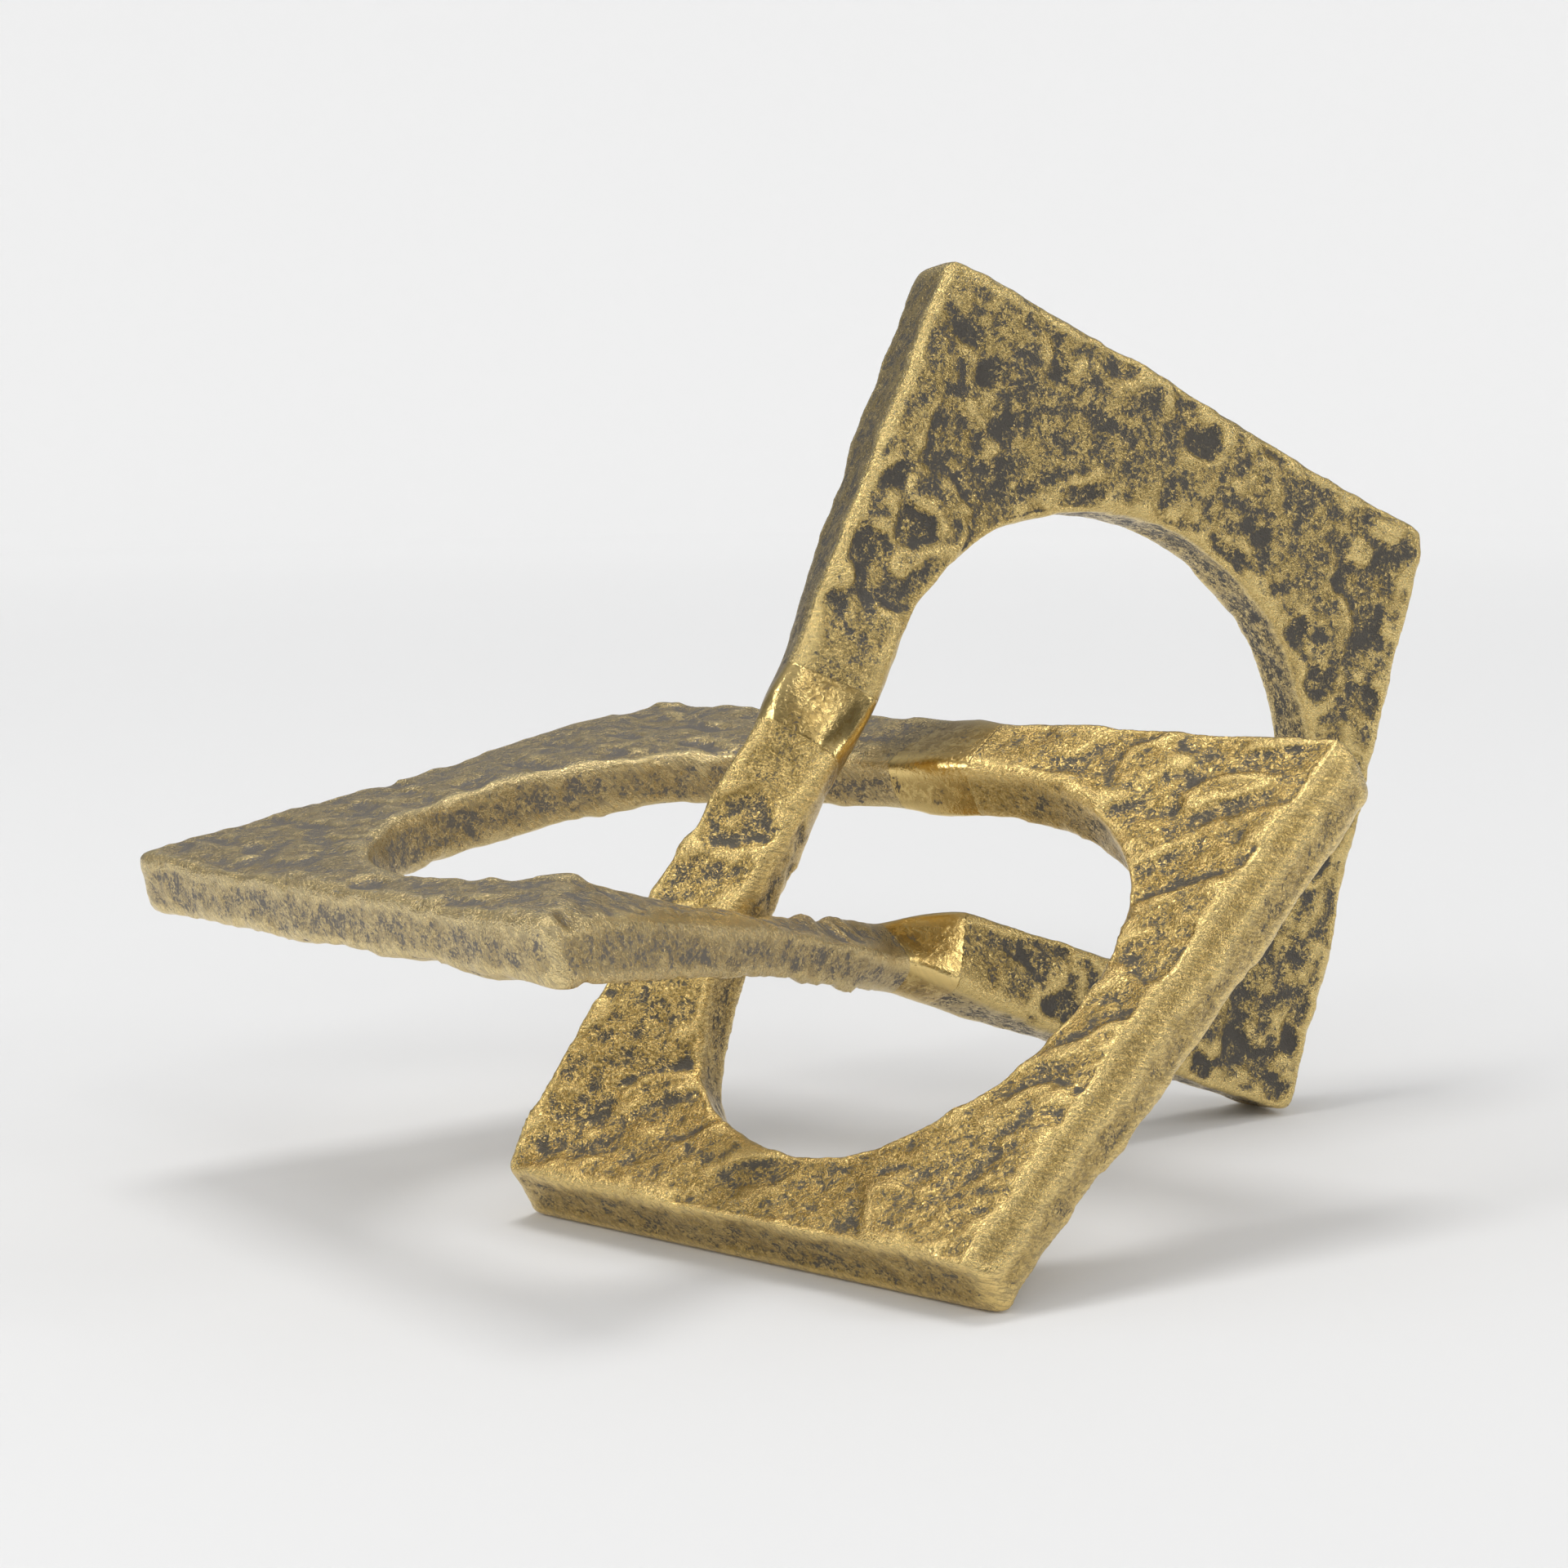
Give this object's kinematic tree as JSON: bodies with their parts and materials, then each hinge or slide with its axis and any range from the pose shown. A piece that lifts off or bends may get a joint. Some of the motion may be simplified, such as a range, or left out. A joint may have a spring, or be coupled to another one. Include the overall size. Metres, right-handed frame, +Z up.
{
  "type": "knotted ring puzzle sculpture",
  "caption": "Closed rigid band of hammered cast brass, tied as a trefoil of square plates with round holes, standing on one edge and one corner.",
  "frame": {"origin": "middle of the bounding box, on the surface that the object stands on", "axes": "+Z up, -Y towards the viewer, so that the front plate's lower edge is nearest; +X to the viewer's right and along the longest side"},
  "size_m": [0.2295, 0.1647, 0.1546],
  "materials": {
    "cast_brass": "hammered sand casting with dark patina in the hollows and polished ridges",
    "filler_brass": "brazed bead, ground and dressed flush",
    "drawn_brass": "plain drawn rod, hidden in the joints"
  },
  "bodies": {
    "root": {"upper_casting": "cast_brass", "left_casting": "cast_brass", "front_casting": "cast_brass", "weld_upper_front": "filler_brass", "weld_upper_left": "filler_brass", "weld_left_front": "filler_brass", "pin_upper_front": "drawn_brass", "pin_upper_left": "drawn_brass", "pin_left_front": "drawn_brass"}
  },
  "joints": []
}
